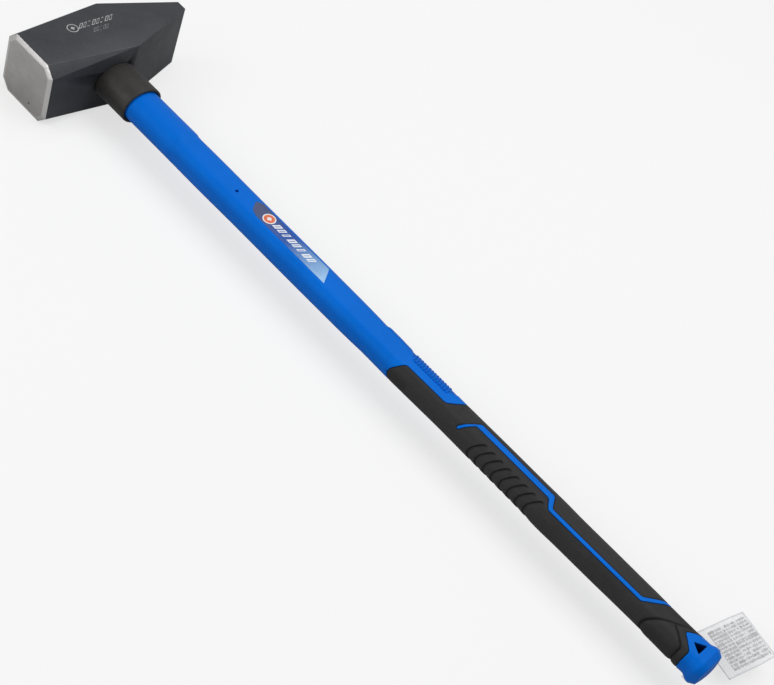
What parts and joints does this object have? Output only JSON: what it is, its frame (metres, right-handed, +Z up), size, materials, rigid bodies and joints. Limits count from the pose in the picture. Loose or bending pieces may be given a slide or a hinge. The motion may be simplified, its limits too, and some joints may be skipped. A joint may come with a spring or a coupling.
{
  "type": "sledgehammer",
  "caption": "Two-handed sledgehammer: square cross-peen steel head, straight moulded handle with soft grip and lanyard hole, and a folding blank retail tag.",
  "frame": {"origin": "point of the lower cheek of the head, under where the handle axis meets the middle of the head", "axes": "+X along the handle from the head to the butt, +Y along the head from the striking face to the peen, +Z up, out of the upper cheek"},
  "size_m": [0.9314, 0.195, 0.073],
  "materials": {
    "head_steel": "satin dark coating with a bright ground striking face",
    "resin": "cast, slightly glossy",
    "glass_fibre": "sawn fibre end, drawn sides",
    "blue_plastic": "satin moulded polypropylene",
    "black_grip": "fine matt moulded texture",
    "collar_rubber": "dull, slightly brown",
    "label_film": "printed film",
    "clear_film": "clear film",
    "tag_paper": "white synthetic paper"
  },
  "bodies": {
    "hammer": {"head": "head_steel", "eye_resin": "resin", "core_rod": "glass_fibre", "handle_jacket": "blue_plastic", "grip_sleeve": "black_grip", "neck_collar": "collar_rubber", "butt_cap": "blue_plastic", "handle_label": "label_film", "tag_tail": "clear_film"},
    "tag": {"tag_pocket": "clear_film", "tag_card": "tag_paper"}
  },
  "joints": [
    {"name": "tag_fold", "type": "hinge", "parent": "hammer", "child": "tag", "pos_m": [0.8575, 0.03035, 0.021], "axis": [0.9763, -0.2164, 0], "range_deg": [-20, 80]}
  ]
}
